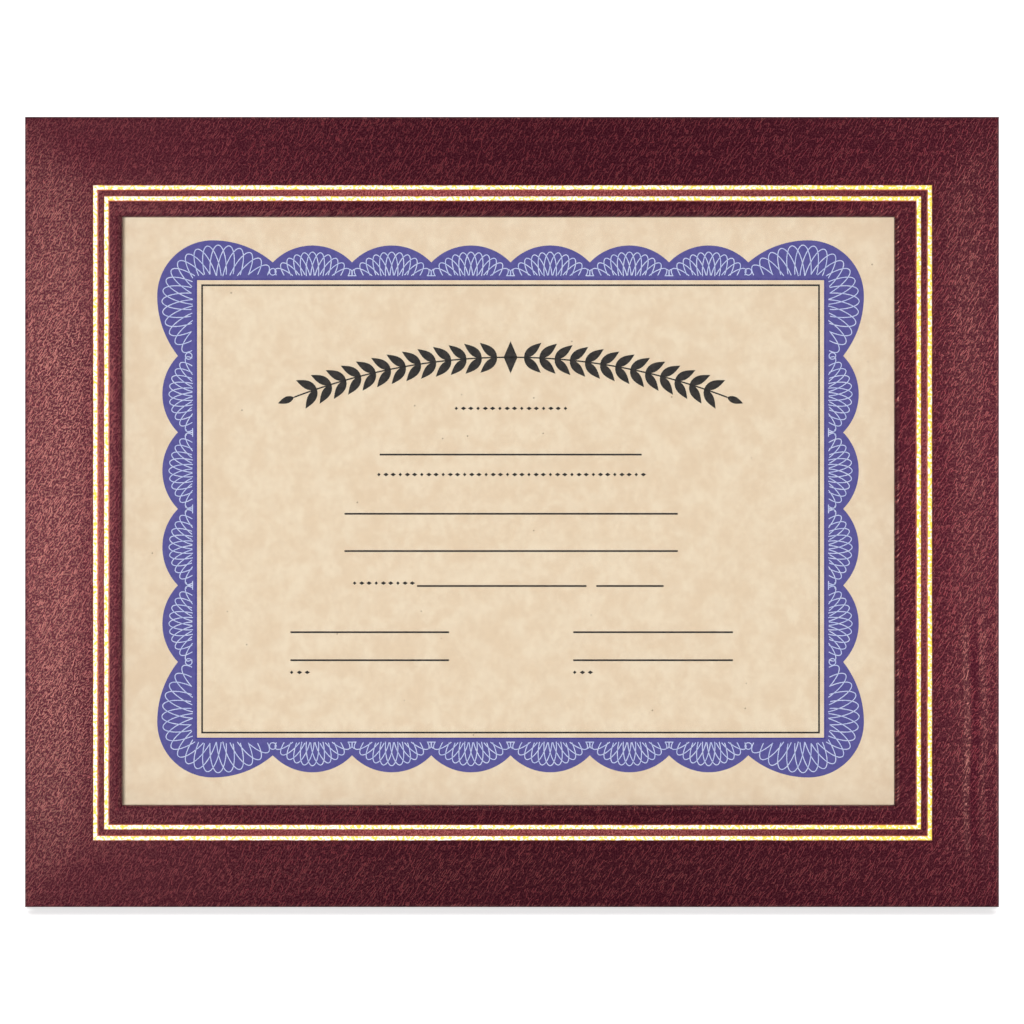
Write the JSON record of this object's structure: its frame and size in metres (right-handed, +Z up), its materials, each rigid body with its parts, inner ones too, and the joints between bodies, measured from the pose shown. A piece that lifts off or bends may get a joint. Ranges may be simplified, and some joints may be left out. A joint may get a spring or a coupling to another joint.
{
  "type": "certificate holder",
  "caption": "Padded leatherette certificate holder with a gold-lined window, a top slot for the sheet, a folding easel leg and a wall hanger.",
  "frame": {"origin": "under the middle of the standing holder, on the surface it stands on", "axes": "+X to the right as seen from the front, +Y from the front towards the easel leg, +Z up"},
  "size_m": [0.3366, 0.0812, 0.2676],
  "materials": {
    "burgundy_leatherette": "satin",
    "foam": "matte",
    "fibreboard": "matte",
    "gold_foil": "gloss",
    "clear_plastic": "gloss",
    "parchment": "matte",
    "chipboard": "matte",
    "black_paper": "matte",
    "black_board": "matte",
    "plated_steel": "satin",
    "black_ribbon": "matte"
  },
  "bodies": {
    "holder": {"leatherette_cover": "burgundy_leatherette", "foam_pad": "foam", "front_board": "fibreboard", "gold_line_outer": "gold_foil", "gold_line_inner": "gold_foil", "clear_lens": "clear_plastic", "spacer_bottom": "chipboard", "spacer_left": "chipboard", "spacer_right": "chipboard", "back_board": "fibreboard", "back_lining": "black_paper", "hinge_fixed_leaf": "plated_steel", "hinge_pin": "plated_steel", "hinge_back_rivet_left": "plated_steel", "hinge_back_rivet_right": "plated_steel", "stay_ribbon": "black_ribbon", "ribbon_back_rivet": "plated_steel", "hanger_strap": "plated_steel", "hanger_rivet_upper": "plated_steel", "hanger_rivet_lower": "plated_steel"},
    "sheet": {"certificate": "parchment"},
    "easel": {"easel_leg": "black_board", "hinge_moving_leaf": "plated_steel", "hinge_leg_rivet_left": "plated_steel", "hinge_leg_rivet_right": "plated_steel", "ribbon_leg_rivet": "plated_steel"},
    "hanger": {"hanger_ring": "plated_steel"}
  },
  "joints": [
    {"name": "certificate_slide", "type": "slide", "parent": "holder", "child": "sheet", "axis": [0, 0.2419, 0.9703], "range_m": [0, 0.245]},
    {"name": "easel_fold", "type": "hinge", "parent": "holder", "child": "easel", "pos_m": [0, 0.01202, 0.14824], "axis": [1, 0, 0], "range_deg": [-24, 0], "deforming": ["stay_ribbon"]},
    {"name": "hanger_swing", "type": "hinge", "parent": "holder", "child": "hanger", "pos_m": [0, 0.02774, 0.21337], "axis": [1, 0, 0], "range_deg": [-14, 166]}
  ]
}
